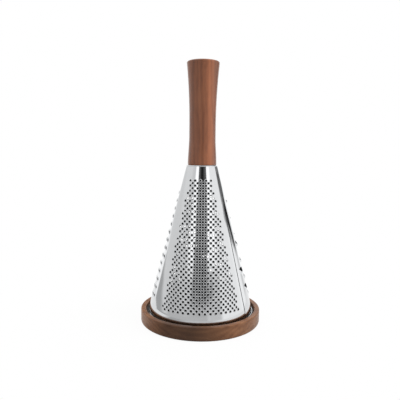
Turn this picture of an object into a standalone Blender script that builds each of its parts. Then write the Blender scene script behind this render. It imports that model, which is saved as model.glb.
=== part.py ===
"""A conical cheese grater that stands in a turned wooden tray.

Blender 4.5 script: metres, +Z up, origin under the centre of the tray, fine teeth towards -Y.
One sheet of steel is drawn flat as a real blank, punched in three grades, raised into teeth and
rolled to a cone whose edges lap at one seam. A turned handle is screwed to the cap on its small end.
"""

import math

import bpy
from mathutils import Vector
from mathutils.geometry import delaunay_2d_cdt

# Clearance between separate pieces that touch on the real object
seat_gap = 0.0003

# Tray: a turned disc with a shallow recess for the cone's foot
tray_radius = 0.0930
tray_height = 0.0208
tray_recess_radius = 0.0851
tray_recess_depth = 0.0048
tray_foot_rounding = 0.0030
tray_rim_rounding = 0.0014
tray_floor_rounding = 0.0010

# Cone of polished sheet
sheet = 0.0008
cone_foot_clearance = 0.0030
cone_top_radius = 0.0244
cone_rise = 0.2255

# Foot of the cone: the side turns upright, then out into a narrow flange
foot_tuck_radius = 0.0500
foot_bend_radius = 0.0006
foot_flange = 0.0013

# Seam: the front edge of the sheet laps over the sunk rear edge
seam_azimuth = math.radians(57.5)
seam_lap = 0.0060
seam_land = 0.0012
seam_ramp = 0.0060
seam_edge_gap = 0.0005
seam_end_margin = 0.0030

# Fine teeth: small pierced points in a diamond lattice
fine_row_pitch = 0.0046
fine_tooth_width = 0.0028
fine_tooth_drop = 0.0026
fine_tooth_lift = 0.0007
fine_zone_top = 0.0200
fine_zone_bottom = 0.0063
fine_zone_top_width = 0.0340
fine_zone_bottom_width = 0.1250

# Medium teeth: raised four-sided craters
medium_row_pitch = 0.0124
medium_tooth_pitch = 0.0124
medium_tooth_width = 0.0048
medium_tooth_drop = 0.0050
medium_tooth_lift = 0.0013
medium_zone_top = 0.0400
medium_zone_bottom = 0.0152
medium_zone_top_width = 0.0580
medium_zone_bottom_width = 0.1360

# Coarse teeth: wide scoops whose raised lips face up
coarse_row_pitch = 0.0135
coarse_tooth_pitch = 0.0365
coarse_tooth_width = 0.0160
coarse_tooth_drop = 0.0100
coarse_tooth_lift = 0.0026
coarse_zone_top = 0.0340
coarse_zone_bottom = 0.0180
coarse_zone_top_width = 0.0364
coarse_zone_bottom_width = 0.1362

# Cap that closes the cone's small end
cap_plate = 0.0012
cap_rim_depth = 0.0070
cap_rim_wall = 0.0012
cap_rounding = 0.0010

# Fastening: one screw from inside the cone into an insert in the handle
screw_radius = 0.0030
screw_length = 0.0200
screw_head_radius = 0.0060
screw_head_height = 0.0036
screw_head_rounding = 0.0016
screw_socket_radius = 0.0021
screw_socket_depth = 0.0020
flat_washer_radius = 0.0090
flat_washer_thickness = 0.0012
lock_washer_radius = 0.0058
lock_washer_thickness = 0.0015
lock_washer_split = 0.0012
lock_washer_slant = math.radians(40.0)
insert_radius = 0.0050
insert_length = 0.0140
insert_groove_width = 0.0016
insert_groove_depth = 0.0006

# Handle: turned wood with a waist
handle_length = 0.1550
handle_foot_radius = 0.0220
handle_waist_radius = 0.0202
handle_head_radius = 0.0250
handle_foot_band = 0.0010
handle_foot_taper = 0.0420
handle_head_flare = 0.0930
handle_foot_rounding = 0.0006
handle_head_rounding = 0.0024
handle_bore_tip = 0.0040

# How finely curves are divided, and when points count as one
cone_facets = 48
cone_rings = 8
tray_facets = 48
handle_facets = 32
cap_facets = 24
fastener_facets = 16
fillet_steps = 2
handle_profile_steps = 12
sharp_angle = math.radians(35.0)
merge_distance = 0.000001

# Tooth outlines as shares of the tooth's width, drop and lift: across, down the slope, out.
# Each hole's outline runs over its top to the left and back by its foot.
fine_hole_shares = ((0.5, -0.35, 0.0), (-0.5, -0.35, 0.0), (0.0, 0.65, 1.0))
medium_hole_shares = ((0.0, -0.5, 0.35), (-0.5, 0.0, 0.8), (0.0, 0.5, 1.0), (0.5, 0.0, 0.8))
coarse_hole_shares = ((0.5, -0.1, 0.0), (0.0, -0.25, 0.0), (-0.5, -0.1, 0.0),
                      (-0.34, 0.42, 0.8), (0.0, 0.66, 1.0), (0.34, 0.42, 0.8))
coarse_foot_shares = ((-0.62, 0.05), (-0.46, 0.72), (0.0, 1.1), (0.46, 0.72), (0.62, 0.05))

# Sizes that follow from the ones above
cone_foot_radius = tray_recess_radius - cone_foot_clearance
cone_foot_height = tray_height - tray_recess_depth + seat_gap
cone_top_height = cone_foot_height + cone_rise
cone_top = Vector((cone_top_radius, cone_top_height))
flange_foot = Vector((cone_foot_radius - foot_flange, cone_foot_height + sheet))
bend_centre = flange_foot + Vector((0.0, foot_bend_radius))
tuck_centre = bend_centre - Vector((foot_bend_radius + foot_tuck_radius, 0.0))
to_top = cone_top - tuck_centre
half_angle = math.atan2(to_top.y, to_top.x) - math.acos(foot_tuck_radius / to_top.length)
slope_out = Vector((math.cos(half_angle), math.sin(half_angle)))
slope_down = Vector((math.sin(half_angle), -math.cos(half_angle)))
slope_length = math.sqrt(to_top.length_squared - foot_tuck_radius ** 2)
slant_to_apex = cone_top_radius / math.sin(half_angle)
foot_tuck = half_angle * foot_tuck_radius
foot_bend = math.pi / 2.0 * foot_bend_radius
sheet_length = slope_length + foot_tuck + foot_bend + foot_flange
seam_sink = sheet + seat_gap
cap_seat_height = cone_top_height + seat_gap
cap_top_height = cap_seat_height + cap_plate
handle_foot_height = cap_top_height + seat_gap
seam_tab_top = cap_rim_depth + seam_ramp + seam_end_margin
seam_tab_bottom = slope_length - seam_ramp - seam_end_margin
screw_hole_radius = screw_radius + seat_gap


def clear_scene():
    for item in list(bpy.data.objects):
        bpy.data.objects.remove(item)


def new_collection(name):
    collection = bpy.data.collections.new(name)
    bpy.context.scene.collection.children.link(collection)
    return collection


def material(name, colour, metallic, roughness):
    made = bpy.data.materials.new(name)
    made.use_nodes = True
    made.diffuse_color = (*colour, 1.0)
    shader = made.node_tree.nodes["Principled BSDF"]
    shader.inputs["Base Color"].default_value = (*colour, 1.0)
    shader.inputs["Metallic"].default_value = metallic
    shader.inputs["Roughness"].default_value = roughness
    return made


def new_object(name, mesh, collection, finish):
    made = bpy.data.objects.new(name, mesh)
    mesh.materials.append(finish)
    mesh.shade_smooth()
    mesh.set_sharp_from_angle(angle=sharp_angle)
    collection.objects.link(made)
    return made


def smooth_step(value):
    held = min(max(value, 0.0), 1.0)
    return held * held * (3.0 - 2.0 * held)


def filleted(corners):
    """Outline points of (across, up, rounding) corners, each rounding drawn as an arc."""
    points = []
    for index, (across, up, rounding) in enumerate(corners):
        here = Vector((across, up))
        if not rounding:
            points.append(here)
            continue
        before = (Vector(corners[index - 1][:2]) - here).normalized()
        after = (Vector(corners[(index + 1) % len(corners)][:2]) - here).normalized()
        half_turn = before.angle(after) / 2.0
        centre = here + (before + after).normalized() * (rounding / math.sin(half_turn))
        reach = rounding / math.tan(half_turn)
        start = here + before * reach - centre
        end = here + after * reach - centre
        sweep = start.angle(end)
        for step in range(fillet_steps + 1):
            share = step / fillet_steps
            spoke = start * math.sin((1.0 - share) * sweep) + end * math.sin(share * sweep)
            points.append(centre + spoke / math.sin(sweep))
    return points


def turned(name, outline, facets, height, collection, finish, closed=False):
    """A piece of revolution, its outline running down its outer side."""
    mesh = bpy.data.meshes.new(name)
    edges = [(index, index + 1) for index in range(len(outline) - 1)]
    if closed:
        edges.append((len(outline) - 1, 0))
    mesh.from_pydata([(across, 0.0, up) for across, up in outline], edges, [])
    made = new_object(name, mesh, collection, finish)
    made.location.z = height
    screw = made.modifiers.new("Turn", "SCREW")
    screw.axis = "Z"
    screw.steps = facets
    screw.render_steps = facets
    screw.use_smooth_shade = True
    screw.use_merge_vertices = True
    screw.merge_threshold = merge_distance
    return made


def tray(collection, finish):
    floor = tray_height - tray_recess_depth
    outline = filleted((
        (0.0, floor, 0.0),
        (tray_recess_radius, floor, tray_floor_rounding),
        (tray_recess_radius, tray_height, tray_rim_rounding),
        (tray_radius, tray_height, tray_rim_rounding),
        (tray_radius, 0.0, tray_foot_rounding),
        (0.0, 0.0, 0.0),
    ))
    return turned("base_tray", outline, tray_facets, 0.0, collection, finish)


def radius_at(down):
    """Radius of the cone's outer skin at a distance down its slope."""
    return cone_top_radius + min(down, slope_length) * slope_down.x


def skin_point(down):
    """Outer skin's (radius, height) and outward direction at a distance along the sheet from its top."""
    if down <= slope_length:
        return cone_top + slope_down * down, slope_out
    past = down - slope_length
    if past < foot_tuck:
        tilt = half_angle - past / foot_tuck_radius
        outward = Vector((math.cos(tilt), math.sin(tilt)))
        return tuck_centre + outward * foot_tuck_radius, outward
    past -= foot_tuck
    if past < foot_bend:
        turn = past / foot_bend_radius
        outward = Vector((math.cos(turn), math.sin(turn)))
        return bend_centre - outward * foot_bend_radius, outward
    flange = Vector((past - foot_bend, -foot_bend_radius))
    return bend_centre + flange, Vector((0.0, 1.0))


def seam_depth(azimuth, down):
    """How far the sheet is sunk where its rear edge passes under its front edge."""
    past_seam = (azimuth - seam_azimuth + 2.0 * math.pi) * radius_at(down)
    sunk = smooth_step((down - cap_rim_depth) / seam_ramp)
    level = smooth_step((slope_length - down) / seam_ramp)
    across = 1.0 - smooth_step((past_seam - seam_land) / seam_ramp)
    return seam_sink * sunk * level * across


def flat_point(azimuth, down):
    """Where a point of the cone lies on the flat blank, whose origin is the cone's apex."""
    spread = azimuth * math.sin(half_angle)
    reach = slant_to_apex + down
    return Vector((reach * math.sin(spread), -reach * math.cos(spread)))


def rolled_point(azimuth, down, lift):
    """Where a point of the blank ends on the cone."""
    skin, outward = skin_point(down)
    placed = skin + outward * (lift - seam_depth(azimuth, down))
    return Vector((placed.x * math.sin(azimuth), -placed.x * math.cos(azimuth), placed.y))


class Zone:
    """One grating zone: its middle, its extent and the lattice of its teeth."""

    def __init__(self, middle, top, bottom, top_width, bottom_width, row_pitch, tooth_pitch):
        self.middle = middle
        self.top = top
        self.bottom = slope_length - bottom
        self.top_width = top_width
        self.bottom_width = bottom_width
        self.row_pitch = row_pitch
        self.tooth_pitch = tooth_pitch

    def half_width(self, down):
        share = (down - self.top) / (self.bottom - self.top)
        return (self.top_width + (self.bottom_width - self.top_width) * share) / 2.0

    def teeth(self):
        """(offset along the row, distance down the slope) of each tooth, every other row staggered."""
        rows = int((self.bottom - self.top) / self.row_pitch)
        for row in range(rows + 1):
            down = self.bottom - row * self.row_pitch
            stagger = self.tooth_pitch / 2.0 * (row % 2)
            count = int((self.half_width(down) + stagger) / self.tooth_pitch)
            first = -count * self.tooth_pitch + stagger
            shorter = row % 2
            for index in range(2 * count + 1 - shorter):
                yield first + index * self.tooth_pitch, down

    def azimuth(self, offset, down):
        return self.middle + offset / radius_at(down)

    def covers(self, azimuth, down):
        """Whether a point lies among the teeth or within a third of a lattice step of them."""
        margin = self.row_pitch / 3.0
        if not self.top - margin < down < self.bottom + margin:
            return False
        return abs(azimuth - self.middle) * radius_at(down) < self.half_width(down) + margin


class Blank:
    """The flat sheet: points with their place on the cone, holes, and creases to keep."""

    def __init__(self):
        self.places = []
        self.faces = []
        self.creases = []

    def add(self, azimuth, down, lift=0.0):
        self.places.append((azimuth, down, lift))
        return len(self.places) - 1

    def mesh(self, name):
        flat = [flat_point(azimuth, down) for azimuth, down, _ in self.places]
        drawn = delaunay_2d_cdt(flat, self.creases, self.faces, 1, merge_distance)
        _, _, triangles, origins, _, inside = drawn
        rolled = [rolled_point(*self.places[origin[0]]) for origin in origins]
        kept = [triangle for triangle, within in zip(triangles, inside) if list(within) == [0]]
        used = sorted({corner for triangle in kept for corner in triangle})
        place = {corner: index for index, corner in enumerate(used)}
        made = bpy.data.meshes.new(name)
        made.from_pydata(
            [rolled[corner] for corner in used],
            [],
            [[place[corner] for corner in triangle] for triangle in kept],
        )
        return made


def ring_levels():
    """Distances down the sheet at which rings of points are laid between its top and its flange's edge."""
    reach = slope_length - cap_rim_depth
    levels = [cap_rim_depth + reach * index / cone_rings for index in range(cone_rings + 1)]
    upright = slope_length + foot_tuck
    return levels + [slope_length + foot_tuck / 2.0, upright, upright + foot_bend]


def seam_levels():
    """The rings' distances and the two between which the seam's step has its full depth."""
    return sorted([*ring_levels(), cap_rim_depth + seam_ramp, slope_length - seam_ramp])


def sheet_outline(blank):
    """The blank's edge: rear edge with its tab, flange's edge, front edge of the seam, top arc."""
    rear = seam_azimuth - 2.0 * math.pi
    step = 2.0 * math.pi / cone_facets
    columns = [rear + step * index for index in range(1, cone_facets + 1)]
    levels = seam_levels()
    stations = sorted([0.0, *levels, sheet_length])
    edge = []
    for start, end, overlap in (
        (0.0, seam_tab_top, -seam_edge_gap),
        (seam_tab_top, seam_tab_bottom, seam_lap),
        (seam_tab_bottom, sheet_length, -seam_edge_gap),
    ):
        for down in [start, *[level for level in stations if start < level < end], end]:
            edge.append(blank.add(rear - overlap / radius_at(down), down))
    edge += [blank.add(azimuth, sheet_length) for azimuth in columns]
    edge += [blank.add(seam_azimuth, level) for level in reversed(levels)]
    edge += [blank.add(azimuth, 0.0) for azimuth in reversed(columns)]
    blank.faces.append(edge)


def plain_points(blank, zones):
    """Points of the plain sheet between the zones, and of the ramp beside the seam."""
    rear = seam_azimuth - 2.0 * math.pi
    step = 2.0 * math.pi / cone_facets
    for level in seam_levels():
        for distance in (seam_land, seam_land + seam_ramp / 2.0, seam_land + seam_ramp):
            blank.add(rear + distance / radius_at(level), level)
    for level in ring_levels():
        ramp_end = (seam_land + seam_ramp) / radius_at(level)
        for index in range(1, cone_facets):
            azimuth = rear + step * index
            beside_seam = azimuth - rear < ramp_end + step / 2.0
            if not beside_seam and not any(zone.covers(azimuth, level) for zone in zones):
                blank.add(azimuth, level)


def punch(blank, zone, shares, width, drop, lift):
    """Cuts a hole for each tooth of a zone and raises its rim."""
    for offset, down in zone.teeth():
        hole = []
        for across, below, out in shares:
            azimuth = zone.azimuth(offset + across * width, down)
            hole.append(blank.add(azimuth, down + below * drop, out * lift))
        blank.faces.append(hole)


def hold_sheet_beside(blank, zone):
    """Keeps the sheet down on both sides of each tooth of a zone, halfway to the next."""
    for offset, down in zone.teeth():
        for side in (-zone.tooth_pitch / 2.0, zone.tooth_pitch / 2.0):
            blank.add(zone.azimuth(offset + side, down), down)


def seat_scoops(blank, zone):
    """Lays the line round each coarse tooth where its dome meets the sheet."""
    for offset, down in zone.teeth():
        foot = []
        for across, below in coarse_foot_shares:
            azimuth = zone.azimuth(offset + across * coarse_tooth_width, down)
            foot.append(blank.add(azimuth, down + below * coarse_tooth_drop))
        blank.creases += list(zip(foot, foot[1:]))


def grater_shell(collection, finish):
    third_turn = 2.0 * math.pi / 3.0
    fine = Zone(0.0, fine_zone_top, fine_zone_bottom, fine_zone_top_width, fine_zone_bottom_width,
                fine_row_pitch, 2.0 * fine_row_pitch)
    medium = Zone(-third_turn, medium_zone_top, medium_zone_bottom, medium_zone_top_width,
                  medium_zone_bottom_width, medium_row_pitch, medium_tooth_pitch)
    coarse = Zone(third_turn - 2.0 * math.pi, coarse_zone_top, coarse_zone_bottom, coarse_zone_top_width,
                  coarse_zone_bottom_width, coarse_row_pitch, coarse_tooth_pitch)
    blank = Blank()
    sheet_outline(blank)
    plain_points(blank, (fine, medium, coarse))
    punch(blank, fine, fine_hole_shares, fine_tooth_width, fine_tooth_drop, fine_tooth_lift)
    punch(blank, medium, medium_hole_shares, medium_tooth_width, medium_tooth_drop, medium_tooth_lift)
    hold_sheet_beside(blank, medium)
    punch(blank, coarse, coarse_hole_shares, coarse_tooth_width, coarse_tooth_drop, coarse_tooth_lift)
    hold_sheet_beside(blank, coarse)
    seat_scoops(blank, coarse)
    made = new_object("grater_shell", blank.mesh("grater_shell"), collection, finish)
    walls = made.modifiers.new("Sheet", "SOLIDIFY")
    walls.thickness = sheet
    walls.offset = -1.0
    return made


def top_cap(collection, finish):
    """Stamped cap: a plate on the cone's end with a rim turned down inside it."""
    rim_top = cone_top_radius - sheet / slope_out.x - seat_gap
    rim_foot = rim_top + cap_rim_depth * math.tan(half_angle)
    outline = filleted((
        (screw_hole_radius, cap_plate, 0.0),
        (cone_top_radius, cap_plate, cap_rounding),
        (cone_top_radius, 0.0, 0.0),
        (rim_top, 0.0, 0.0),
        (rim_foot, -cap_rim_depth, 0.0),
        (rim_foot - cap_rim_wall, -cap_rim_depth, 0.0),
        (rim_top - cap_rim_wall, 0.0, 0.0),
        (screw_hole_radius, 0.0, 0.0),
    ))
    return turned("top_cap", outline, cap_facets, cap_seat_height, collection, finish, closed=True)


def handle_radius(up):
    """Radius of the handle's side at a height above its foot."""
    foot = 1.0 - smooth_step((up - handle_foot_band) / handle_foot_taper)
    flare = max(up - handle_length + handle_head_flare, 0.0) / handle_head_flare
    widened = (handle_foot_radius - handle_waist_radius) * foot
    return handle_waist_radius + widened + (handle_head_radius - handle_waist_radius) * flare * flare


def handle(collection, finish):
    bore = insert_radius + seat_gap
    bore_depth = insert_length + 2.0 * seat_gap
    tip_depth = bore_depth + handle_bore_tip
    side_steps = range(1, handle_profile_steps)
    side = [(handle_length * step / handle_profile_steps) for step in side_steps]
    corners = [(0.0, handle_length, 0.0), (handle_head_radius, handle_length, handle_head_rounding)]
    corners += [(handle_radius(up), up, 0.0) for up in reversed(side)]
    corners += [
        (handle_foot_radius, 0.0, handle_foot_rounding),
        (bore, 0.0, 0.0),
        (bore, bore_depth, 0.0),
        (screw_hole_radius, bore_depth, 0.0),
        (screw_hole_radius, tip_depth, 0.0),
        (0.0, tip_depth, 0.0),
    ]
    return turned("handle", filleted(corners), handle_facets, handle_foot_height, collection, finish)


def threaded_insert(collection, finish):
    """Brass insert with two grooves that grip the wood."""
    corners = [(screw_hole_radius, insert_length), (insert_radius, insert_length)]
    for middle in (insert_length * 2.0 / 3.0, insert_length / 3.0):
        above = middle + insert_groove_width / 2.0
        below = middle - insert_groove_width / 2.0
        grooved = insert_radius - insert_groove_depth
        corners += [(insert_radius, above), (grooved, above), (grooved, below), (insert_radius, below)]
    corners += [(insert_radius, 0.0), (screw_hole_radius, 0.0)]
    foot = handle_foot_height + seat_gap
    return turned("threaded_insert", corners, fastener_facets, foot, collection, finish, closed=True)


def flat_washer(collection, finish):
    outline = (
        (screw_hole_radius, flat_washer_thickness),
        (flat_washer_radius, flat_washer_thickness),
        (flat_washer_radius, 0.0),
        (screw_hole_radius, 0.0),
    )
    foot = cap_seat_height - seat_gap - flat_washer_thickness
    return turned("flat_washer", outline, fastener_facets, foot, collection, finish, closed=True)


def lock_washer(collection, cutters, finish):
    """Spring washer, split by a slanted cut."""
    outline = (
        (screw_hole_radius, lock_washer_thickness),
        (lock_washer_radius, lock_washer_thickness),
        (lock_washer_radius, 0.0),
        (screw_hole_radius, 0.0),
    )
    foot = cap_seat_height - 2.0 * seat_gap - flat_washer_thickness - lock_washer_thickness
    made = turned("lock_washer", outline, fastener_facets, foot, collection, finish, closed=True)
    reach = lock_washer_radius
    bpy.ops.mesh.primitive_cube_add(size=1.0)
    cutter = bpy.context.object
    cutter.name = "lock_washer_split_cutter"
    cutter.scale = (reach, lock_washer_split, 4.0 * lock_washer_thickness)
    cutter.location = (reach / 2.0 + screw_radius / 2.0, 0.0, foot + lock_washer_thickness / 2.0)
    cutter.rotation_euler.x = lock_washer_slant
    cut_from(made, cutter, cutters)
    return made


def cut_from(target, cutter, cutters):
    for holder in list(cutter.users_collection):
        holder.objects.unlink(cutter)
    cutters.objects.link(cutter)
    cutter.hide_render = True
    cutter.display_type = "WIRE"
    cut = target.modifiers.new("Cut", "BOOLEAN")
    cut.operation = "DIFFERENCE"
    cut.object = cutter


def handle_screw(collection, cutters, finish):
    """Pan-head screw with a hexagon socket, its head inside the cone."""
    outline = filleted((
        (0.0, screw_length, 0.0),
        (screw_radius, screw_length, 0.0),
        (screw_radius, 0.0, 0.0),
        (screw_head_radius, 0.0, 0.0),
        (screw_head_radius, -screw_head_height, screw_head_rounding),
        (0.0, -screw_head_height, 0.0),
    ))
    seat = cap_seat_height - 3.0 * seat_gap - flat_washer_thickness - lock_washer_thickness
    made = turned("handle_screw", outline, fastener_facets, seat, collection, finish)
    reach = 2.0 * screw_socket_depth
    bpy.ops.mesh.primitive_cylinder_add(vertices=6, radius=screw_socket_radius, depth=reach)
    cutter = bpy.context.object
    cutter.name = "screw_socket_cutter"
    cutter.location.z = seat - screw_head_height
    cut_from(made, cutter, cutters)
    return made


def build():
    clear_scene()
    pieces = new_collection("cheese_grater")
    cutters = new_collection("cutters")
    walnut = (0.16, 0.075, 0.042)
    polished = (0.78, 0.79, 0.80)
    plain_steel = (0.62, 0.63, 0.64)
    brass = (0.75, 0.55, 0.25)
    tray(pieces, material("tray_walnut", walnut, 0.0, 0.45))
    grater_shell(pieces, material("polished_sheet", polished, 1.0, 0.08))
    top_cap(pieces, material("polished_cap", polished, 1.0, 0.10))
    handle(pieces, material("handle_walnut", walnut, 0.0, 0.40))
    threaded_insert(pieces, material("insert_brass", brass, 1.0, 0.30))
    flat_washer(pieces, material("washer_steel", plain_steel, 1.0, 0.35))
    lock_washer(pieces, cutters, material("spring_steel", plain_steel, 1.0, 0.40))
    handle_screw(pieces, cutters, material("screw_steel", plain_steel, 1.0, 0.30))


build()
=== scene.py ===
"""Photo scene of a cone grater on a wooden tray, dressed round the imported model.

Metres, +Z up, fine teeth towards -Y. Azimuths run from -Y towards +X. A place on the sheet is its
azimuth and its distance down the sheet from the cone's small end.
"""

import math
import random

import bpy
import numpy as np
from mathutils import Matrix, Vector
from mathutils.geometry import delaunay_2d_cdt


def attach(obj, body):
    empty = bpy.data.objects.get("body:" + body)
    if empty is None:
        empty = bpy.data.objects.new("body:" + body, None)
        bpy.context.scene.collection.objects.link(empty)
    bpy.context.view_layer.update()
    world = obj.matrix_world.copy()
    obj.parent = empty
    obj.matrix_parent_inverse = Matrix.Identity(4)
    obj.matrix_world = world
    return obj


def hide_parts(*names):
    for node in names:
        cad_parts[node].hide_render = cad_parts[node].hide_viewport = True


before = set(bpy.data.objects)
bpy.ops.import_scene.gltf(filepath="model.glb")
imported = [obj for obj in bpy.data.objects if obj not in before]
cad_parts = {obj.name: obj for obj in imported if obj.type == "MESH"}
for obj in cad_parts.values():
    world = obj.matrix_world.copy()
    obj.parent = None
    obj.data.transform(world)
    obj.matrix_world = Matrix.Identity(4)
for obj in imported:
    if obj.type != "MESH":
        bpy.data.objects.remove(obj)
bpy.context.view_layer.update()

MM = 0.001

# Cone of sheet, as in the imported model: a straight slope, a tuck, a tight bend and a narrow flange
SHEET = 0.8 * MM
TOP_RADIUS = 24.4 * MM
FOOT_RADIUS = 82.1 * MM
FOOT_HEIGHT = 16.3 * MM
TOP_HEIGHT = 241.8 * MM
TUCK_RADIUS = 50.0 * MM
BEND_RADIUS = 0.6 * MM
FLANGE = 1.3 * MM
TUCK_CENTRE = (FOOT_RADIUS - FLANGE - BEND_RADIUS - TUCK_RADIUS, FOOT_HEIGHT + SHEET + BEND_RADIUS)
BEND_CENTRE = (FOOT_RADIUS - FLANGE, TUCK_CENTRE[1])
TO_TOP = (TOP_RADIUS - TUCK_CENTRE[0], TOP_HEIGHT - TUCK_CENTRE[1])
HALF_ANGLE = math.atan2(TO_TOP[1], TO_TOP[0]) - math.acos(TUCK_RADIUS / math.hypot(*TO_TOP))
SIN_HALF = math.sin(HALF_ANGLE)
COS_HALF = math.cos(HALF_ANGLE)
SLOPE = math.sqrt(TO_TOP[0] ** 2 + TO_TOP[1] ** 2 - TUCK_RADIUS ** 2)
TUCK = HALF_ANGLE * TUCK_RADIUS
BEND = math.pi / 2.0 * BEND_RADIUS
SHEET_END = SLOPE + TUCK + BEND + FLANGE
# The flange's outer rim keeps the mirror steel; the rest of the flange and the bend take near-black steel
# as painted shade.
BRIGHT_RIM = 0.6 * MM
APEX = TOP_RADIUS / SIN_HALF

# Seam: the rear edge is sunk and laps under the front one, except near the cone's ends
SEAM = math.radians(57.5)
SEAM_SINK = 0.85 * MM
SEAM_LAP = 5.0 * MM
SEAM_RAMP = 9.0 * MM
SEAM_BLEND = 20.0 * MM
SEAM_START = 7.0 * MM
SEAM_GAP = 0.05 * MM
TAB_MARGIN = 2.0 * MM

# Mesh of the sheet, which is thinned to a share of its thickness at the rims of the holes
REAR = SEAM - 2.0 * math.pi
COLUMNS = 96
ARC = [REAR + 2.0 * math.pi / COLUMNS * index for index in range(1, COLUMNS + 1)]
CLEAR_OF_TEETH = 0.6 * MM
RIM_THINNED_TO = 0.45

# Numbers of the teeth along a row, with more to each side than the widest row holds
ALONG_ROW = range(-12, 13)

# Fine zone in mm, measured off the photo: its rows, its sides, which spread downwards, and the shift of
# its middle, which is also turned by an angle in radians
FINE_ROWS = 51
FINE_TOP = 21.5
FINE_ROW_PITCH = 3.85
FINE_TOOTH_PITCH = 7.9
FINE_LEFT, FINE_LEFT_SPREAD = 20.7, 0.2275
FINE_RIGHT, FINE_RIGHT_SPREAD = 12.6, 0.2475
FINE_TURN = 0.0139
FINE_SHIFT = 1.51

# Handle in mm, measured up from its foot
HANDLE_FOOT = 243.6
HANDLE_LENGTH = 155.0
HANDLE_WAIST_RADIUS = 20.2
HANDLE_FOOT_EXTRA = 1.8
HANDLE_FOOT_BAND = 1.0
HANDLE_FOOT_TAPER = 42.0
HANDLE_HEAD_EXTRA = 4.8
HANDLE_HEAD_FLARE = 93.0
HANDLE_SIDE_STEPS = 64
INSERT_HOLE, INSERT_HOLE_DEPTH = 5.3, 14.6
SCREW_HOLE, SCREW_HOLE_DEPTH = 3.3, 18.6

# Camera fitted to the photo
PHOTO_PIXELS = 400.0
FOCAL_PIXELS = 449.1
SENSOR_WIDTH = 36.0
CAMERA_PLACE = (-0.00246, -0.6937, 0.2604)
CAMERA_PITCH = 0.102
CAMERA_ROLL = 0.0127


def srgb(red, green, blue):
    """A colour written as 0 to 255 values, made linear."""
    def linear(value):
        value /= 255.0
        return value / 12.92 if value <= 0.04045 else ((value + 0.055) / 1.055) ** 2.4
    return (linear(red), linear(green), linear(blue), 1.0)


def grey(level):
    return (level, level, level, 1.0)


def smooth(value):
    held = np.clip(value, 0.0, 1.0)
    return held * held * (3.0 - 2.0 * held)


def unit(vectors):
    return vectors / np.linalg.norm(vectors, axis=-1, keepdims=True)


# Sheet shape

def radius_at(down):
    """Radius of the straight slope, and of the slope's end from there on down."""
    return TOP_RADIUS + np.minimum(down, SLOPE) * SIN_HALF


def skin(down):
    """Radius, height and outward direction of the sheet's outer skin along its length from the top."""
    down = np.asarray(down, float)
    past = down - SLOPE
    tilt = HALF_ANGLE - np.clip(past, 0.0, TUCK) / TUCK_RADIUS
    turn = np.clip(past - TUCK, 0.0, BEND) / BEND_RADIUS
    flange = np.maximum(past - TUCK - BEND, 0.0)
    straight = np.minimum(past, 0.0)
    upper = past < TUCK
    out_r = np.where(upper, np.cos(tilt), np.cos(turn))
    out_z = np.where(upper, np.sin(tilt), np.sin(turn))
    upper_radius = TUCK_CENTRE[0] + out_r * TUCK_RADIUS + SIN_HALF * straight
    upper_height = TUCK_CENTRE[1] + out_z * TUCK_RADIUS - COS_HALF * straight
    radius = np.where(upper, upper_radius, BEND_CENTRE[0] - out_r * BEND_RADIUS + flange)
    height = np.where(upper, upper_height, BEND_CENTRE[1] - out_z * BEND_RADIUS)
    return radius, height, out_r, out_z


def seam_depth(azimuth, down):
    """How far the sheet is sunk towards its rear edge."""
    past = (azimuth - SEAM + 2.0 * math.pi) * radius_at(down)
    along = smooth((down - SEAM_START) / SEAM_RAMP) * smooth((SLOPE + TUCK - down) / SEAM_RAMP)
    return SEAM_SINK * along * (1.0 - smooth(past / SEAM_BLEND))


def place(azimuth, down, lift):
    """World points of the outer skin."""
    radius, height, out_r, out_z = skin(down)
    out = lift - seam_depth(azimuth, down)
    across = radius + out_r * out
    return np.stack((across * np.sin(azimuth), -across * np.cos(azimuth), height + out_z * out), axis=-1)


def flat(azimuth, down):
    """The same points on the flat blank, whose origin is the cone's apex."""
    spread = np.asarray(azimuth) * SIN_HALF
    reach = APEX + np.asarray(down)
    return np.stack((reach * np.sin(spread), -reach * np.cos(spread)), axis=-1)


def sheet_normals(azimuths, downs):
    """Outward normals of the plain sheet, from points a little to each side."""
    nudge = 2e-5
    sideways = place(azimuths + nudge, downs, 0.0) - place(azimuths - nudge, downs, 0.0)
    upward = place(azimuths, downs - nudge, 0.0) - place(azimuths, downs + nudge, 0.0)
    return unit(np.cross(sideways, upward))


# Teeth

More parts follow.
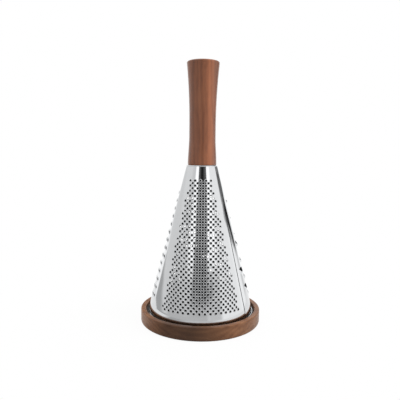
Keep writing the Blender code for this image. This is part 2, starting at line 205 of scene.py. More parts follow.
class Grade:
    """One grade of teeth: outlines of a tooth's foot and hole, and how far its rim is raised.

    An outline runs anticlockwise round the tooth, as distances across and down from its centre.
    """
    segments = 12
    rings = 4
    power = 1.8
    twists = 1.0
    force_range = (0.8, 1.2)
    twist_range = (-0.35, 0.35)

    def __init__(self, centres, seed):
        self.azimuths = np.array([centre[0] for centre in centres])[:, None, None]
        self.downs = np.array([centre[1] for centre in centres])[:, None, None]
        dice = random.Random(seed)
        self.force = np.array([dice.uniform(*self.force_range) for _ in centres])[:, None, None]
        self.twist = np.array([dice.uniform(*self.twist_range) for _ in centres])[:, None, None]

    def profile(self, share):
        """How far the sheet has risen at a share of the way from foot to hole."""
        return share ** self.power

    def sheet_points(self, turn, share):
        """Azimuth, distance down and lift of every tooth, at a turn and at a share from foot to hole."""
        turned = turn[None] + self.twist * share[None] * self.twists
        foot_across, foot_below = self.foot(turn[None])
        hole_across, hole_below = self.hole(turned)
        blend = share[None]
        across = foot_across + (hole_across - foot_across) * blend
        below = foot_below + (hole_below - foot_below) * blend
        raised = self.lift(turned) * self.profile(blend) * self.force
        azimuth = self.azimuths + across / radius_at(self.downs)
        return np.broadcast_arrays(azimuth, self.downs + below, raised)

    def points(self, turn, share):
        return place(*self.sheet_points(turn, share))

    def turns(self):
        return 2.0 * math.pi * np.arange(self.segments) / self.segments

    def grid(self):
        """Points and normals of every tooth: teeth x rings x segments x 3."""
        turn, share = np.meshgrid(self.turns(), np.linspace(0.0, 1.0, self.rings))
        step = 1e-4
        round_by = self.points(turn + step, share) - self.points(turn - step, share)
        inward = self.points(turn, share + step) - self.points(turn, np.maximum(share - step, 0.0))
        return self.points(turn, share), unit(np.cross(round_by, inward))

    def feet(self):
        """Azimuths and distances down of the points round every tooth's foot."""
        turns = self.turns()
        azimuth, down, _ = self.sheet_points(turns[None], np.zeros_like(turns)[None])
        return azimuth[:, 0], down[:, 0]

    def foot_discs(self):
        """Centres of the teeth's feet on the flat blank, and how far a foot reaches from its centre."""
        azimuth, down = self.feet()
        height = np.ptp(down[0])
        width = np.ptp(azimuth[0]) * radius_at(float(self.downs[0, 0, 0]))
        return flat(azimuth.mean(axis=1), down.mean(axis=1)), max(height, width) / 2.0


class FineGrade(Grade):
    """Small round piercings with a torn four-point burr."""
    foot_radius = 2.5 * MM
    hole_radius = 2.08 * MM
    hole_corners = 0.09
    rim_lift = 0.75 * MM
    burr = 0.2

    def foot(self, turn):
        return self.foot_radius * np.cos(turn), -self.foot_radius * np.sin(turn)

    def hole(self, turn):
        radius = self.hole_radius * (1.0 - self.hole_corners * np.cos(4.0 * turn))
        return radius * np.cos(turn), -radius * np.sin(turn)

    def lift(self, turn):
        return self.rim_lift * (1.0 + self.burr * np.cos(4.0 * turn))


class MediumGrade(Grade):
    """Larger oval craters, raised most at their lower rim."""
    segments = 16
    rings = 5
    foot_half_width, foot_half_height = 3.7 * MM, 4.8 * MM
    hole_half_width, hole_half_height = 2.5 * MM, 2.2 * MM
    hole_corners = 0.10
    rim_lift = 0.55 * MM
    lower_extra = 0.25

    def foot(self, turn):
        return self.foot_half_width * np.cos(turn), -self.foot_half_height * np.sin(turn)

    def hole(self, turn):
        wave = 1.0 + self.hole_corners * np.cos(4.0 * turn)
        return self.hole_half_width * wave * np.cos(turn), -self.hole_half_height * wave * np.sin(turn)

    def lift(self, turn):
        return self.rim_lift * (1.0 - self.lower_extra * np.sin(turn))


class CoarseGrade(Grade):
    """Wide scoops whose raised lip faces up."""
    segments = 32
    rings = 7
    power = 1.5
    twists = 0.0
    foot_half_width, foot_above, foot_below = 9.2 * MM, 2.4 * MM, 10.0 * MM
    hole_half_width, hole_above, hole_below = 6.8 * MM, 1.8 * MM, 5.2 * MM
    lip_lift = 2.1 * MM
    lip_fullness = 0.8
    soft_part, steep_part = 0.55, 0.45

    def foot(self, turn):
        up = np.sin(turn)
        below = -np.where(up > 0.0, self.foot_above * up, self.foot_below * up)
        return self.foot_half_width * np.cos(turn), below

    def hole(self, turn):
        up = np.sin(turn)
        below = -np.where(up > 0.0, self.hole_above * up, self.hole_below * up)
        return self.hole_half_width * np.cos(turn), below

    def lift(self, turn):
        return self.lip_lift * np.maximum(-np.sin(turn), 0.0) ** self.lip_fullness

    def profile(self, share):
        return self.soft_part * smooth(share) + self.steep_part * share ** self.power


def fine_centres():
    """Staggered rows of the fine zone, down from its top row."""
    found = []
    for row in range(FINE_ROWS):
        down = (FINE_TOP + FINE_ROW_PITCH * row) * MM
        below_top = down / MM - FINE_TOP
        left = -(FINE_LEFT + FINE_LEFT_SPREAD * below_top) * MM
        right = (FINE_RIGHT + FINE_RIGHT_SPREAD * below_top) * MM
        middle = FINE_TURN + FINE_SHIFT * MM / radius_at(down)
        for index in ALONG_ROW:
            offset = (index + (0.0 if row % 2 else 0.5)) * FINE_TOOTH_PITCH * MM
            if left < offset < right:
                found.append((middle + offset / radius_at(down), down))
    return found


def spread_centres(middle, last, rows, row_pitch, tooth_pitch, half_width, widening, lean=0.0):
    """Staggered rows that fill a zone of the cone, counted up from the lowest row.

    Each row leans on by an angle from the one below it.
    """
    found = []
    for row in range(rows):
        down = last - row * row_pitch
        reach = half_width - widening * row * row_pitch
        for index in ALONG_ROW:
            offset = (index + 0.5 * (row % 2)) * tooth_pitch
            if abs(offset) < reach:
                found.append((middle + lean * row + offset / radius_at(down), down))
    return found


# Shell mesh

class Blank:
    """Places on the sheet, and the loops of them that bound it and the feet of its teeth."""

    def __init__(self):
        self.places = []
        self.loops = []

    def add(self, azimuth, down):
        self.places.append((azimuth, down))
        return len(self.places) - 1

    def add_outline(self, levels):
        """Down the rear edge, round the foot, up the front edge and back round the top."""
        edge = [self.add(azimuth, down) for azimuth, down in rear_edge(levels)]
        edge += [self.add(azimuth, SHEET_END) for azimuth in ARC]
        edge += [self.add(SEAM, level) for level in reversed(levels)]
        edge += [self.add(azimuth, 0.0) for azimuth in reversed(ARC[:-1])]
        self.loops.append(edge)

    def add_feet(self, grade):
        """One loop for each tooth of a grade."""
        azimuth, down = grade.feet()
        outlines = zip(azimuth.tolist(), down.tolist())
        feet = [[self.add(*spot) for spot in zip(*outline)] for outline in outlines]
        self.loops += feet
        return feet

    def triangulate(self):
        """Triangles between the teeth, azimuth and distance down of their points, each place's point."""
        azimuths, downs = np.array(self.places).T
        spots = [Vector(spot) for spot in flat(azimuths, downs).tolist()]
        inside_loops, merge_distance = 1, 1e-7
        result = delaunay_2d_cdt(spots, [], self.loops, inside_loops, merge_distance)
        triangles, origins, loops_round = result[2], result[3], result[5]
        kept = [tuple(triangle) for triangle, loops in zip(triangles, loops_round) if list(loops) == [0]]
        point_of = {source: point for point, sources in enumerate(origins) for source in sources}
        first = np.array([sources[0] for sources in origins])
        return kept, azimuths[first], downs[first], point_of


def sheet_levels():
    """Distances down the sheet at which its plain surface has rows of points."""
    slope_rows, tuck_rows, bend_rows = 26, 8, 4
    levels = [0.0, SEAM_START / 2.0]
    levels += [SEAM_START + (SLOPE - SEAM_START) * row / slope_rows for row in range(slope_rows + 1)]
    levels += [SLOPE + TUCK * row / tuck_rows for row in range(1, tuck_rows + 1)]
    levels += [SLOPE + TUCK + BEND * row / bend_rows for row in range(1, bend_rows + 1)]
    return levels + [SHEET_END - BRIGHT_RIM]


def rear_edge(levels):
    """Places down the rear edge, whose middle stretch is the tab that laps under the front edge."""
    tab_top = SEAM_START + SEAM_RAMP + TAB_MARGIN
    tab_bottom = SLOPE - TAB_MARGIN
    stretches = (
        (0.0, tab_top, SEAM_GAP), (tab_top, tab_bottom, -SEAM_LAP), (tab_bottom, SHEET_END, SEAM_GAP))
    for top, bottom, forward in stretches:
        for down in [top] + [level for level in levels if top < level < bottom] + [bottom]:
            yield REAR + forward / radius_at(down), down


def plain_places(levels, grades):
    """Places of the plain sheet, closer together beside the rear edge, and none in or near a tooth."""
    beside_seam = np.linspace(0.8, 14.5, 9) * MM
    found = [(azimuth, level) for level in levels[1:] for azimuth in ARC[:-1]]
    for level in levels[1:]:
        found += [(REAR + distance / float(radius_at(level)), level) for distance in beside_seam]
    found = np.array(found)
    clear = np.ones(len(found), bool)
    for grade in grades:
        centres, reach = grade.foot_discs()
        gaps = np.linalg.norm(flat(found[:, 0], found[:, 1])[:, None] - centres[None], axis=-1).min(axis=1)
        clear &= gaps > reach + CLEAR_OF_TEETH
    return found[clear]


def tooth_faces(feet, start, rings, segments):
    """Faces from each tooth's foot in to its hole, whose rings of points are numbered from start."""
    faces = []
    for foot in feet:
        outer = foot
        for _ in range(rings):
            within = list(range(start, start + segments))
            for here in range(segments):
                after = (here + 1) % segments
                faces.append((outer[here], outer[after], within[after], within[here]))
            outer = within
            start += segments
    return faces


def open_edges(faces):
    """Edges that only one face has, in that face's direction."""
    edges = {(face[index - 1], face[index]) for face in faces for index in range(len(face))}
    return sorted((start, end) for start, end in edges if (end, start) not in edges)


def painted_shade_slots(triangles, downs):
    """Slot 1, near-black steel as painted shade, for the triangles of the bend and the flange, but for the
    flange's bright rim.
    """
    low, high = SLOPE + TUCK - 0.1 * MM, SHEET_END - 0.9 * BRIGHT_RIM
    along = downs[np.array(triangles)]
    return ((low < along.min(axis=1)) & (along.max(axis=1) < high)).astype(int).tolist()


def set_normals(mesh, normals, first_wall):
    """Gives the two skins their true normals and the faces from first_wall on their own flat ones."""
    corners = np.zeros(len(mesh.loops), int)
    mesh.loops.foreach_get("vertex_index", corners)
    at_corners = normals[corners]
    of_faces = np.zeros(len(mesh.polygons) * 3)
    mesh.polygons.foreach_get("normal", of_faces)
    of_walls = of_faces.reshape(-1, 3)[first_wall:]
    at_corners[mesh.polygons[first_wall].loop_start:] = np.repeat(of_walls, 4, axis=0)
    mesh.normals_split_custom_set(at_corners.tolist())


def shell_mesh(grades):
    """The punched sheet as one closed mesh: outer skin, inner skin and the cut edges between them."""
    levels = sheet_levels()
    blank = Blank()
    blank.add_outline(levels)
    feet_of = [blank.add_feet(grade) for grade in grades]
    for azimuth, down in plain_places(levels, grades).tolist():
        blank.add(azimuth, down)
    triangles, azimuths, downs, point_of = blank.triangulate()

    total = len(azimuths)
    faces = list(triangles)
    vertices, normals = [place(azimuths, downs, 0.0)], [sheet_normals(azimuths, downs)]
    thickness = [np.full(total, SHEET)]
    for grade, feet in zip(grades, feet_of):
        grid, grid_normals = grade.grid()
        teeth, rings, segments = grid.shape[:3]
        joined = [[point_of[index] for index in foot] for foot in feet]
        faces += tooth_faces(joined, total, rings - 1, segments)
        vertices.append(grid[:, 1:].reshape(-1, 3))
        normals.append(grid_normals[:, 1:].reshape(-1, 3))
        thinned = SHEET * np.linspace(1.0, RIM_THINNED_TO, rings)[1:]
        thickness.append(np.tile(np.repeat(thinned, segments), teeth))
        total += teeth * (rings - 1) * segments
    vertices, normals = np.concatenate(vertices), np.concatenate(normals)
    inner_vertices = vertices - normals * np.concatenate(thickness)[:, None]

    inner_faces = [tuple(index + total for index in reversed(face)) for face in faces]
    walls = [(end, start, start + total, end + total) for start, end in open_edges(faces)]
    mesh = bpy.data.meshes.new("cone_shell")
    mesh.from_pydata(np.concatenate((vertices, inner_vertices)).tolist(), [], faces + inner_faces + walls)
    mesh.shade_smooth()
    # The bend, the flange and the inner skin take slot 1, near-black steel as painted shade.
    slots = painted_shade_slots(triangles, downs) + [0] * (len(faces) - len(triangles))
    mesh.polygons.foreach_set("material_index", slots + [1] * len(faces) + [0] * len(walls))
    set_normals(mesh, np.concatenate((normals, -normals)), 2 * len(faces))
    return mesh


def seam_bead():
    """Narrow near-black bead along the lap's edge."""
    half_width, height = 1.0 * MM, 0.22 * MM
    start, buried, back = 9.0 * MM, -0.1 * MM, 0.2 * MM
    profile = [(-half_width, buried), (-0.5 * half_width, 0.7 * height), (0.0, height),
               (0.5 * half_width, 0.7 * height), (half_width, buried)]
    rows = 90
    vertices = []
    for down in np.linspace(start, SLOPE + TUCK, rows):
        radius = float(radius_at(down))
        spot, height_at, out_r, out_z = (float(value) for value in skin(down))
        for across, lift in profile:
            azimuth = SEAM - back / radius + across / radius
            out = spot + out_r * lift
            vertices.append((out * math.sin(azimuth), -out * math.cos(azimuth), height_at + out_z * lift))
    count = len(profile)
    faces = []
    for row in range(rows - 1):
        for corner in range(count):
            here, after = row * count + corner, row * count + (corner + 1) % count
            faces.append((here, here + count, after + count, after))
    faces.append(tuple(range(count)))
    faces.append(tuple(reversed(range((rows - 1) * count, rows * count))))
    mesh = bpy.data.meshes.new("seam_bead")
    mesh.from_pydata(vertices, [], faces)
    mesh.shade_smooth()
    return mesh


# Turned pieces

def rounded(corners):
    """Outline of (across, up, rounding) corners in mm, each rounding drawn as an arc."""
    steps = 8
    points = []
    for index, (across, up, rounding) in enumerate(corners):
        here = Vector((across, up)) * MM
        if not rounding:
            points.append(here)
            continue
        before = (Vector(corners[index - 1][:2]) * MM - here).normalized()
        after = (Vector(corners[(index + 1) % len(corners)][:2]) * MM - here).normalized()
        half_turn = before.angle(after) / 2.0
        centre = here + (before + after).normalized() * (rounding * MM / math.sin(half_turn))
        reach = rounding * MM / math.tan(half_turn)
        start, end = here + before * reach - centre, here + after * reach - centre
        sweep = start.angle(end)
        for step in range(steps + 1):
            share = step / steps
            spoke = start * math.sin((1.0 - share) * sweep) + end * math.sin(share * sweep)
            points.append(centre + spoke / math.sin(sweep))
    return points


def lathe(name, outline, segments, closed=False):
    """Piece of revolution whose outline runs down its outer side, smooth but for its sharp corners."""
    on_axis, sharp = 1e-7, math.radians(38.0)
    mesh = bpy.data.meshes.new(name)
    vertices, faces, rings = [], [], []
    for point in outline:
        if point.x < on_axis:
            rings.append([len(vertices)] * segments)
            vertices.append((0.0, 0.0, point.y))
            continue
        rings.append(list(range(len(vertices), len(vertices) + segments)))
        for index in range(segments):
            turn = 2.0 * math.pi * index / segments
            vertices.append((point.x * math.sin(turn), -point.x * math.cos(turn), point.y))
    pairs = list(zip(rings, rings[1:]))
    if closed:
        pairs.append((rings[-1], rings[0]))
    for upper, lower in pairs:
        for index in range(segments):
            after = (index + 1) % segments
            corners = list(dict.fromkeys((upper[index], lower[index], lower[after], upper[after])))
            if len(corners) > 2:
                faces.append(corners)
    mesh.from_pydata(vertices, [], faces)
    mesh.shade_smooth()
    mesh.set_sharp_from_angle(angle=sharp)
    return mesh


def handle_radius(up):
    """The handle's radius in mm at a height over its foot."""
    foot = 1.0 - float(smooth((up - HANDLE_FOOT_BAND) / HANDLE_FOOT_TAPER))
    flare = max(up - (HANDLE_LENGTH - HANDLE_HEAD_FLARE), 0.0) / HANDLE_HEAD_FLARE
    return HANDLE_WAIST_RADIUS + HANDLE_FOOT_EXTRA * foot + HANDLE_HEAD_EXTRA * flare * flare


def handle_outline():
    """Down the handle's side from the middle of its head, and up its stepped bore."""
    head = HANDLE_FOOT + HANDLE_LENGTH
    insert_end, screw_end = HANDLE_FOOT + INSERT_HOLE_DEPTH, HANDLE_FOOT + SCREW_HOLE_DEPTH
    rises = [HANDLE_LENGTH * step / HANDLE_SIDE_STEPS for step in range(HANDLE_SIDE_STEPS - 1, 0, -1)]
    side = [(handle_radius(up), HANDLE_FOOT + up, 0.0) for up in rises]
    bore = [(INSERT_HOLE, HANDLE_FOOT, 0.3), (INSERT_HOLE, insert_end, 0.0), (SCREW_HOLE, insert_end, 0.0),
            (SCREW_HOLE, screw_end, 0.0), (0.0, screw_end, 0.0)]
    above = [(0.0, head, 0.0), (handle_radius(HANDLE_LENGTH), head, 2.2)]
    below = [(handle_radius(0.0), HANDLE_FOOT, 0.7)]
    return rounded(above + side + below + bore)


def tray_outline():
    recess_floor, rim, recess_radius, tray_radius = 16.0, 20.8, 85.1, 93.0
    return rounded((
        (0.0, recess_floor, 0.0), (recess_radius, recess_floor, 1.0), (recess_radius, rim, 1.5),
        (tray_radius, rim, 1.6), (tray_radius, 0.0, 3.0), (0.0, 0.0, 0.0)))


def cap_outline():
    """A stamped disc with a rim turned down inside the cone and a lip over the cone's edge."""
    top, plate_under, rim_foot, bore = 243.3, 242.1, 235.1, 3.3
    return rounded((
        (bore, top, 0.0), (24.4, top, 1.0), (24.4, plate_under, 0.0), (23.3, plate_under, 0.0),
        (25.0, rim_foot, 0.0), (23.8, rim_foot, 0.0), (22.1, plate_under, 0.0), (bore, plate_under, 0.0)))


def piece(name, mesh, body, slot, finish, *nodes):
    """A visible piece that rides a body, and that may take the place of nodes of the model."""
    made = bpy.data.objects.new(name, mesh)
    bpy.context.scene.collection.objects.link(made)
    mesh.materials.append(finish)
    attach(made, body)
    if nodes:
        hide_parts(*nodes)
    return made


# Node helpers

class Tree:
    """Short hand for building a node tree."""

    def __init__(self, tree):
        self.nodes = tree.nodes
        self.links = tree.links

    def fill(self, socket, value):
        """Links a socket to another node's output, or gives it a value."""
        if isinstance(value, bpy.types.NodeSocket):
            self.links.new(value, socket)
        else:
            socket.default_value = value

    def add(self, kind, inputs=None, **settings):
        node = self.nodes.new(kind)
        for key, value in settings.items():
            setattr(node, key, value)
        for key, value in (inputs or {}).items():
            self.fill(node.inputs[key], value)
        return node

    def math(self, operation, first, second=0.0, third=0.0):
        node = self.add("ShaderNodeMath", {0: first, 1: second, 2: third}, operation=operation)
        return node.outputs[0]

    def ramp(self, factor, stops):
        """Colour or level between (position, colour or level) stops."""
        node = self.add("ShaderNodeValToRGB", {0: factor})
        band = node.color_ramp
        band.interpolation = "LINEAR"
        while len(band.elements) > 1:
            band.elements.remove(band.elements[-1])
        for index, (position, colour) in enumerate(stops):
            element = band.elements[0] if index == 0 else band.elements.new(position)
            element.position = position
            element.color = colour if isinstance(colour, tuple) else grey(colour)
        return node.outputs["Color"]

    def mix(self, factor, first, second, blend="MIX"):
        node = self.add("ShaderNodeMix", data_type="RGBA", blend_type=blend)
        for socket, value in ((node.inputs[0], factor), (node.inputs[6], first), (node.inputs[7], second)):
            self.fill(socket, value)
        return node.outputs[2]

    def noise(self, vector, scale, detail, roughness):
        node = self.add("ShaderNodeTexNoise", {
            "Vector": vector, "Scale": scale, "Detail": detail, "Roughness": roughness})
        return node.outputs["Fac"]

    def streaks(self, vector, scale, detail, roughness):
        """Noise with its own scale along each axis."""
        stretched = self.add("ShaderNodeMapping", {"Vector": vector, "Scale": scale}).outputs[0]
        return self.noise(stretched, 1.0, detail, roughness)

    def remap(self, value, start, end, low, high, kind="LINEAR"):
        """Level that goes from low to high while the value goes from start to end."""
        limits = {0: value, 1: start, 2: end, 3: low, 4: high}
        return self.add("ShaderNodeMapRange", limits, interpolation_type=kind).outputs[0]

    def past(self, value, edge, soft):
        """0 before an edge and 1 past it, or the other way round where soft is negative."""
        return self.remap(value, edge - soft, edge + soft, 0.0, 1.0, "SMOOTHSTEP")


def new_material(name):
    made = bpy.data.materials.new(name)
    made.use_nodes = True
    return made, Tree(made.node_tree), made.node_tree.nodes["Principled BSDF"]


# Finishes

def growth_rings(tree, grain):
    """0 to 1 and back over each pair of growth rings round the pith, which drift a little along it."""
    rings_per_metre, drift_rings = 300.0, 7.0
    drift = tree.streaks(grain, scale=(38.0, 38.0, 7.0), detail=2.0, roughness=0.5)
    parts = tree.add("ShaderNodeSeparateXYZ", {0: grain}).outputs
    square = tree.math("ADD", tree.math("POWER", parts[0], 2.0), tree.math("POWER", parts[1], 2.0))
    from_pith = tree.math("MULTIPLY", tree.math("SQRT", square), rings_per_metre)
    drifted = tree.math("ADD", from_pith, tree.math("MULTIPLY", drift, drift_rings))
    return tree.math("PINGPONG", drifted, 1.0)


def painted_side_light(tree, place_at, patch, light_stops):
    """Painted light and shade that change slowly across x, a level to multiply the wood's colour by, whose
    edges wander with the patches.
    """
    sideways = tree.add("ShaderNodeSeparateXYZ", {0: place_at}).outputs[0]
    wander = 0.012
    across = tree.math("MULTIPLY_ADD", patch, wander, tree.math("SUBTRACT", sideways, wander / 2.0))
    first, span = light_stops[0][0], light_stops[-1][0] - light_stops[0][0]
    share = tree.math("DIVIDE", tree.math("SUBTRACT", across, first * MM), span * MM)
    return tree.ramp(share, tuple(((x - first) / span, level) for x, level in light_stops))


def walnut(name, turn, pith, tones, rough, sheen, light_stops):
    """Turned walnut: growth rings round a pith line, fibres and pores along the grain.

    The light_stops are x in mm and the level of painted light and shade there.
    """
    ring_weight, fibre_weight, patch_weight = 0.10, 0.20, 0.34
    pore_shade, pore_depth, fibre_depth = 0.35, 0.8, 0.5
    rough_dip, rough_spread = 0.06, 0.16
    tone_stops = (0.18, 0.29, 0.36, 0.48)
    made, tree, shader = new_material(name)
    place_at = tree.add("ShaderNodeTexCoord").outputs["Object"]
    along = {"Vector": place_at, "Rotation": turn, "Location": pith}
    grain = tree.add("ShaderNodeMapping", along).outputs[0]
    rings = growth_rings(tree, grain)
    fibre = tree.streaks(grain, scale=(1300.0, 1300.0, 42.0), detail=3.0, roughness=0.6)
    patch = tree.streaks(grain, scale=(95.0, 95.0, 16.0), detail=3.0, roughness=0.55)
    specks = tree.streaks(grain, scale=(2600.0, 2600.0, 190.0), detail=1.0, roughness=0.5)
    pores = tree.ramp(specks, ((0.30, 1.0), (0.38, 0.0)))
    tone = tree.math("MULTIPLY", rings, ring_weight)
    tone = tree.math("ADD", tone, tree.math("MULTIPLY", fibre, fibre_weight))
    tone = tree.math("ADD", tone, tree.math("MULTIPLY", patch, patch_weight))
    colour = tree.ramp(tone, tuple(zip(tone_stops, tones)))
    colour = tree.mix(tree.math("MULTIPLY", pores, pore_shade), colour, tones[0])
    # Painted light and shade across x, multiplied into the colour.
    colour = tree.mix(1.0, colour, painted_side_light(tree, place_at, patch, light_stops), "MULTIPLY")
    raised = tree.math("MULTIPLY", fibre, fibre_depth)
    relief = tree.math("SUBTRACT", raised, tree.math("MULTIPLY", pores, pore_depth))
    bump = tree.add("ShaderNodeBump", {"Height": relief, "Strength": 0.35, "Distance": 0.1 * MM})
    tree.links.new(colour, shader.inputs["Base Color"])
    roughness = tree.math("MULTIPLY_ADD", fibre, rough_spread, rough - rough_dip)
    tree.links.new(roughness, shader.inputs["Roughness"])
    tree.links.new(bump.outputs[0], shader.inputs["Normal"])
    shader.inputs["Coat Weight"].default_value = 0.6 * sheen
    shader.inputs["Coat Roughness"].default_value = 0.22
    shader.inputs["Specular IOR Level"].default_value = sheen
    return made


def polished(name, base, rough, wave):
    """Sheet steel with faint polishing lines, clouds and a slight wave."""
    made, tree, shader = new_material(name)
    place_at = tree.add("ShaderNodeTexCoord").outputs["Object"]
    darkest, cloud_spread = 0.95, 0.10
    cloud_rough, line_rough, rough_dip = 0.05, 0.06, 0.05
    lines = tree.streaks(place_at, scale=(900.0, 900.0, 35.0), detail=3.0, roughness=0.6)
    cloud = tree.noise(place_at, scale=55.0, detail=3.0, roughness=0.6)
    tone = tree.math("MULTIPLY_ADD", cloud, cloud_spread, darkest)
    colour = tree.mix(1.0, base, tree.ramp(tone, ((0.9, 0.9), (1.0, 1.0))), "MULTIPLY")
    roughness = tree.math("MULTIPLY_ADD", lines, line_rough, rough - rough_dip)
    roughness = tree.math("MULTIPLY_ADD", cloud, cloud_rough, roughness)
    waves = tree.noise(place_at, scale=32.0, detail=1.0, roughness=0.4)
    waved = tree.add("ShaderNodeBump", {"Height": waves, "Strength": 1.0, "Distance": wave})
    lined = tree.add("ShaderNodeBump", {
        "Height": lines, "Strength": 0.12, "Distance": 0.03 * MM, "Normal": waved.outputs[0]})
    tree.links.new(colour, shader.inputs["Base Color"])
    tree.links.new(roughness, shader.inputs["Roughness"])
    tree.links.new(lined.outputs[0], shader.inputs["Normal"])
    shader.inputs["Metallic"].default_value = 1.0
    return made


def plain_metal(name, base, rough):
    """Metal with fine lines round the upright axis."""
    made, tree, shader = new_material(name)
    place_at = tree.add("ShaderNodeTexCoord").outputs["Object"]
    line_shade, line_rough = 0.82, 0.15
    lines = tree.streaks(place_at, scale=(250.0, 250.0, 5200.0), detail=2.0, roughness=0.6)
    in_lines = tuple(line_shade * value for value in base[:3]) + (1.0,)
    bump = tree.add("ShaderNodeBump", {"Height": lines, "Strength": 0.25, "Distance": 0.04 * MM})
    tree.links.new(tree.mix(lines, in_lines, base), shader.inputs["Base Color"])
    tree.links.new(tree.math("MULTIPLY_ADD", lines, line_rough, rough), shader.inputs["Roughness"])
    tree.links.new(bump.outputs[0], shader.inputs["Normal"])
    shader.inputs["Metallic"].default_value = 1.0
    return made


steel = polished("mirror_steel", (0.68, 0.69, 0.70, 1.0), 0.07, 0.22 * MM)
# Near-black steel on the inner skin, the bend and the flange: painted shade for the inside of the cone and
# the recess round its foot.
painted_shade_steel = polished("painted_shade_steel", (0.020, 0.020, 0.021, 1.0), 0.45, 0.08 * MM)
cap_steel = polished("cap_steel", (0.68, 0.69, 0.70, 1.0), 0.10, 0.05 * MM)
# Near-black steel for the bead, which draws a dark line along the seam.
dark_seam_steel = plain_metal("dark_seam_steel", (0.035, 0.035, 0.037, 1.0), 0.45)
screw_steel = plain_metal("screw_steel", (0.60, 0.61, 0.62, 1.0), 0.25)
insert_brass = plain_metal("insert_brass", (0.78, 0.58, 0.28, 1.0), 0.25)

handle_tones = (srgb(102, 54, 28), srgb(126, 71, 40), srgb(137, 80, 48), srgb(153, 95, 60))
tray_tones = (srgb(90, 56, 34), srgb(113, 74, 48), srgb(123, 83, 55), srgb(138, 96, 66))
# Near-black walnut tones for the recess: painted shade in the recess round the cone's foot.
recess_shade_tones = (srgb(28, 22, 18), srgb(37, 29, 24), srgb(43, 34, 28), srgb(52, 42, 34))
# Painted light across x, as x in mm and a level: on the handle a lighter left edge, a painted highlight
# band from 8.5 to 12.5 mm and painted shade at the right edge; on the tray painted light at both sides and
# painted shade from -50 to 22 mm.
handle_painted_light = (
    (-26.0, 1.15), (-17.0, 0.84), (5.0, 0.86), (8.5, 1.10), (12.5, 1.10), (16.0, 0.86), (19.0, 0.66))
tray_painted_light = (
    (-93.0, 1.35), (-74.0, 0.92), (-50.0, 0.38), (-12.0, 0.31), (22.0, 0.60), (50.0, 0.92), (93.0, 0.80))
along_handle, handle_pith = (0.0, 0.0, 0.3), (0.035, 0.012, 0.0)
along_tray, tray_pith = (0.0, math.radians(90.0), 0.12), (0.015, 0.05, 0.0)
handle_wood = walnut("handle_walnut", along_handle, handle_pith, handle_tones, 0.36, 0.50, handle_painted_light)
tray_wood = walnut("tray_walnut", along_tray, tray_pith, tray_tones, 0.42, 0.20, tray_painted_light)
recess_painted_shade_wood = walnut("recess_walnut_painted_shade", along_tray, tray_pith, recess_shade_tones, 0.55, 0.20, tray_painted_light)


# Pieces

fine = FineGrade(fine_centres(), seed=3)
medium = MediumGrade(spread_centres(
    middle=math.radians(-120.0), last=203.3 * MM, rows=14, row_pitch=12.42 * MM,
    tooth_pitch=8.2 * MM, half_width=69.0 * MM, widening=0.25), seed=5)
coarse = CoarseGrade(spread_centres(
    middle=math.radians(-238.4), last=200.5 * MM, rows=13, row_pitch=13.5 * MM,
    tooth_pitch=36.5 * MM, half_width=68.1 * MM, widening=0.30, lean=math.radians(0.3)), seed=7)
punched = shell_mesh((fine, medium, coarse))
shell = piece("cone_shell", punched, "grater", "polished_sheet", steel, "grater_shell")
# Second slot: the near-black steel, painted shade.
shell.data.materials.append(painted_shade_steel)
piece("seam_bead", seam_bead(), "grater", "polished_sheet", dark_seam_steel)

tray_mesh = lathe("wood_tray", tray_outline(), segments=192)
tray = piece("wood_tray", tray_mesh, "base", "tray_wood", tray_wood, "base_tray")
tray.data.materials.append(recess_painted_shade_wood)
# The faces in the recess take the near-black walnut as painted shade.
recess_side, under_recess = 84.9 * MM, 15.0 * MM
for polygon in tray.data.polygons:
    in_recess = polygon.center.xy.length < recess_side and polygon.center.z > under_recess
    polygon.material_index = int(in_recess)

handle_mesh = lathe("wood_handle", handle_outline(), segments=160)
piece("wood_handle", handle_mesh, "grater", "handle_wood", handle_wood, "handle")
cap_mesh = lathe("steel_cap", cap_outline(), segments=128, closed=True)
piece("steel_cap", cap_mesh, "grater", "polished_cap", cap_steel, "top_cap")

for node, finish in (("threaded_insert", insert_brass), ("handle_screw", screw_steel),
                     ("flat_washer", screw_steel), ("lock_washer", screw_steel)):
    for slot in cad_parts[node].material_slots:
        slot.material = finish


# Studio

def azimuth_of(tree, parts):
    """Azimuth in radians of a direction or place whose parts are given."""
    return tree.math("ARCTAN2", parts[0], tree.math("MULTIPLY", parts[1], -1.0))


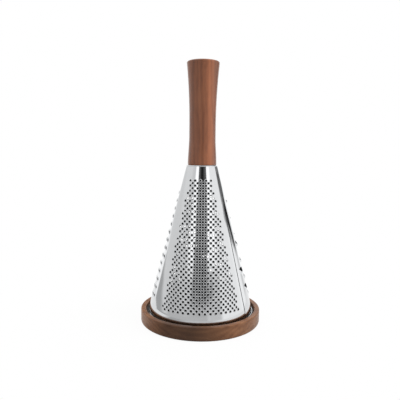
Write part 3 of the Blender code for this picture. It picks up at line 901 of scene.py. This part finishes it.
def floor():
    """Pale floor that is all but white to the camera, with a faint shadow round the object.

    In the steel's mirror image it is dimmed in front of the object, most of all on the left, by the
    azimuth of the spot that is mirrored.
    """
    corners, reach = 96, 0.45
    shades = ((-72, 1.0), (-58, 0.50), (-40, 0.50), (-22, 0.68), (20, 0.70), (45, 1.0))
    turns = [2.0 * math.pi * index / corners for index in range(corners)]
    rim = [(reach * math.sin(turn), -reach * math.cos(turn), 0.0) for turn in turns]
    mesh = bpy.data.meshes.new("floor")
    mesh.from_pydata(rim, [], [tuple(range(corners))])
    made, tree, shader = new_material("pale_floor")
    mesh.materials.append(made)
    shader.inputs["Base Color"].default_value = grey(0.60)
    shader.inputs["Roughness"].default_value = 0.9
    shader.inputs["Specular IOR Level"].default_value = 0.1

    where = tree.add("ShaderNodeNewGeometry").outputs["Position"]
    away = tree.add("ShaderNodeVectorMath", {0: where}, operation="LENGTH").outputs["Value"]
    fade = tree.remap(away, start=0.10, end=0.28, low=0.95, high=1.0, kind="SMOOTHSTEP")
    turn = azimuth_of(tree, tree.add("ShaderNodeSeparateXYZ", {0: where}).outputs)
    round_by = tree.math("MULTIPLY_ADD", turn, 0.5 / math.pi, 0.5)
    dim = tree.ramp(round_by, tuple((angle / 360.0 + 0.5, level) for angle, level in shades))
    path = tree.add("ShaderNodeLightPath").outputs
    pale = tree.mix(path["Is Glossy Ray"], grey(1.0), dim)
    white = tree.add("ShaderNodeEmission", {"Color": pale, "Strength": 1.0})
    seen = tree.math("MAXIMUM", path["Is Camera Ray"], path["Is Glossy Ray"])
    share = tree.math("MULTIPLY", fade, seen)
    blend = tree.add("ShaderNodeMixShader", {0: share, 1: shader.outputs[0], 2: white.outputs[0]})
    tree.links.new(blend.outputs[0], made.node_tree.nodes["Material Output"].inputs["Surface"])
    table = bpy.data.objects.new("floor", mesh)
    bpy.context.scene.collection.objects.link(table)


def studio():
    """Surround with soft panels laid over it one after another, as the steel sees them.

    Each panel: azimuth from and to, lean of its left and right edge, elevation from and to,
    softness sideways and upwards, all in degrees but the leans, which are degrees of azimuth for
    each degree of elevation, then its level. The camera sees plain white, and dull surfaces are lit
    by a surround that grows lighter upwards.
    """
    surround = 1.2
    panels = (
        (-152, -30, 0, 0, 0.5, 99, 5, 1.5, 0.84),
        (-126, -66, 0, 0, 12, 99, 8, 2.5, 0.92),
        (-128.5, -44, 0, 0, -99, 0.0, 2, 2, 0.48),
        (-78, -44, 0, 0, -99, 9, 8, 2, 0.62),
        (-52, 20, 0, 0, -99, 13, 8, 1.5, 0.62),
        (18, 50, 0, 0, -99, 13, 6, 1.5, 0.72),
        (-56, -30, 0, 0, 8, 99, 12, 2, 0.80),
        (-22, 32, 0, 0, 9.8, 99, 3, 1, 0.12),
        (-8, 12, 0, 0, 9.8, 99, 7, 1, 0.015),
        (-41.5, -22, 0, 0, 13, 99, 3.5, 2.5, 1.5),
        (7, 52, 0.88, 0, 13, 99, 3, 2.5, 1.5),
        (52, 107, 0, 0, -99, 99, 5, 1, 1.11),
        (106.5, 142, 0, 0, 9.8, 99, 1.5, 1.5, 0.27),
        (127, 146, 0, 0, -9, 0, 5, 2, 0.80),
        (126.5, 134, -2.4, 0, -0.8, 9.5, 2, 0.8, 0.40),
        (124, 144, 0, 0, 4.8, 10.5, 2, 1, 0.18),
        (130, 137, -1.8, -0.5, -2, 7, 1.5, 0.8, 0.02),
        (-199, -166, 0, 0, 10, 40, 3, 2, 0.12),
        (-199, 199, 0, 0, 43, 99, 1, 9, 1.5),
    )
    world = bpy.data.worlds.new("studio")
    bpy.context.scene.world = world
    world.use_nodes = True
    tree = Tree(world.node_tree)
    toward = tree.add("ShaderNodeTexCoord").outputs["Generated"]
    way = tree.add("ShaderNodeSeparateXYZ", {0: toward}).outputs
    turn = tree.math("MULTIPLY", azimuth_of(tree, way), math.degrees(1.0))
    rise = tree.math("MULTIPLY", tree.math("ARCSINE", way[2]), math.degrees(1.0))

    colour = grey(surround)
    for start, end, lean_left, lean_right, bottom, top, soft_side, soft_rise, level in panels:
        left = tree.past(tree.math("MULTIPLY_ADD", rise, -lean_left, turn), start, soft_side)
        right = tree.past(tree.math("MULTIPLY_ADD", rise, -lean_right, turn), end, -soft_side)
        across = tree.math("MULTIPLY", left, right)
        upward = tree.math("MULTIPLY", tree.past(rise, bottom, soft_rise), tree.past(rise, top, -soft_rise))
        colour = tree.mix(tree.math("MULTIPLY", across, upward), colour, grey(level))
    path = tree.add("ShaderNodeLightPath").outputs
    colour = tree.mix(path["Is Camera Ray"], colour, grey(1.0))
    soft_light = tree.remap(rise, start=-10.0, end=70.0, low=0.34, high=1.65)
    colour = tree.mix(path["Is Diffuse Ray"], colour, soft_light)
    background = world.node_tree.nodes["Background"]
    tree.links.new(colour, background.inputs["Color"])
    background.inputs["Strength"].default_value = 1.0


def softbox():
    """Broad soft lamp from the front right, for the wood; the steel mirrors a studio panel instead."""
    azimuth, elevation, away = math.radians(72.0), math.radians(40.0), 1.2
    aim = Vector((0.0, 0.0, 0.2))
    data = bpy.data.lights.new("softbox", "AREA")
    data.shape = "DISK"
    data.size = 0.9
    data.energy = 12.0
    made = bpy.data.objects.new("softbox", data)
    bpy.context.scene.collection.objects.link(made)
    way = Vector((math.sin(azimuth) * math.cos(elevation), -math.cos(azimuth) * math.cos(elevation),
                  math.sin(elevation)))
    made.location = aim + way * away
    made.rotation_euler = way.to_track_quat("Z", "Y").to_euler()
    made.visible_glossy = False


def camera():
    """Camera at the photo's angle, for a square picture."""
    data = bpy.data.cameras.new("camera")
    made = bpy.data.objects.new("camera", data)
    bpy.context.scene.collection.objects.link(made)
    data.sensor_width = SENSOR_WIDTH
    data.lens = SENSOR_WIDTH * FOCAL_PIXELS / PHOTO_PIXELS
    forward = Vector((0.0, math.cos(CAMERA_PITCH), -math.sin(CAMERA_PITCH)))
    right = Vector((1.0, 0.0, 0.0))
    up = right.cross(forward)
    across = right * math.cos(CAMERA_ROLL) + up * math.sin(CAMERA_ROLL)
    upright = up * math.cos(CAMERA_ROLL) - right * math.sin(CAMERA_ROLL)
    turn = Matrix((across, upright, -forward)).transposed().to_4x4()
    made.matrix_world = Matrix.Translation(CAMERA_PLACE) @ turn
    bpy.context.scene.camera = made


floor()
studio()
softbox()
camera()
bpy.context.scene.view_settings.view_transform = "Standard"
